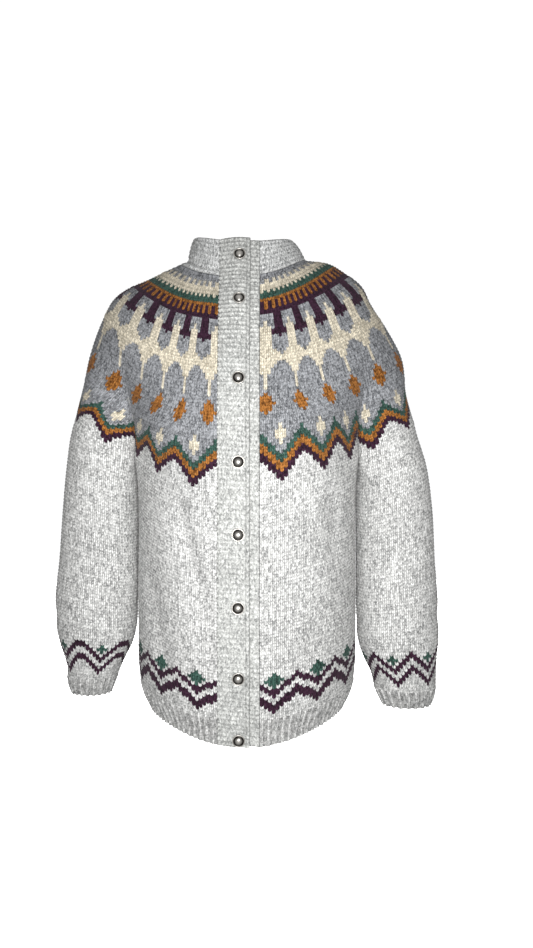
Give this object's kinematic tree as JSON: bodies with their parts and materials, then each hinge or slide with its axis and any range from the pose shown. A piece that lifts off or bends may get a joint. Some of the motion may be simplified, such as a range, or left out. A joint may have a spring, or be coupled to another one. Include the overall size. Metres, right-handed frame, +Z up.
{
  "type": "wool yoke cardigan",
  "caption": "Hand-knit round-yoke wool cardigan, buttoned up and filled out as worn, hollow, with stand-up neckband, ribbed hem and cuffs, and domed metal buttons",
  "frame": {"origin": "the middle of the neck opening, level with the base of the neckband at the sides, where the neck and shoulders of a wearer hold the garment up", "axes": "+Z up, the front faces -Y, +X is the wearer's left"},
  "size_m": [0.5721, 0.3215, 0.7193],
  "materials": {
    "body_wool": "light grey heather lopi wool, stocking stitch, with dark flecks",
    "yoke_wool": "stranded lopi wool in mid grey, cream, ochre, dark green and aubergine",
    "rib_wool": "light grey heather lopi wool, one by one rib",
    "band_wool": "light grey heather lopi wool, ridged garter knitting",
    "button_metal": "pewter-coloured cast metal, darkened in the grooves, polished on the rim"
  },
  "bodies": {
    "root": {"body": "body_wool", "hem_rib": "rib_wool", "yoke": "yoke_wool", "neckband": "band_wool", "sleeve_left": "body_wool", "sleeve_right": "body_wool", "cuff_left": "rib_wool", "cuff_right": "rib_wool", "buttonhole_band": "band_wool", "button_band": "band_wool", "button_1": "button_metal", "button_2": "button_metal", "button_3": "button_metal", "button_4": "button_metal", "button_5": "button_metal", "button_6": "button_metal", "button_7": "button_metal", "button_8": "button_metal"}
  },
  "joints": []
}
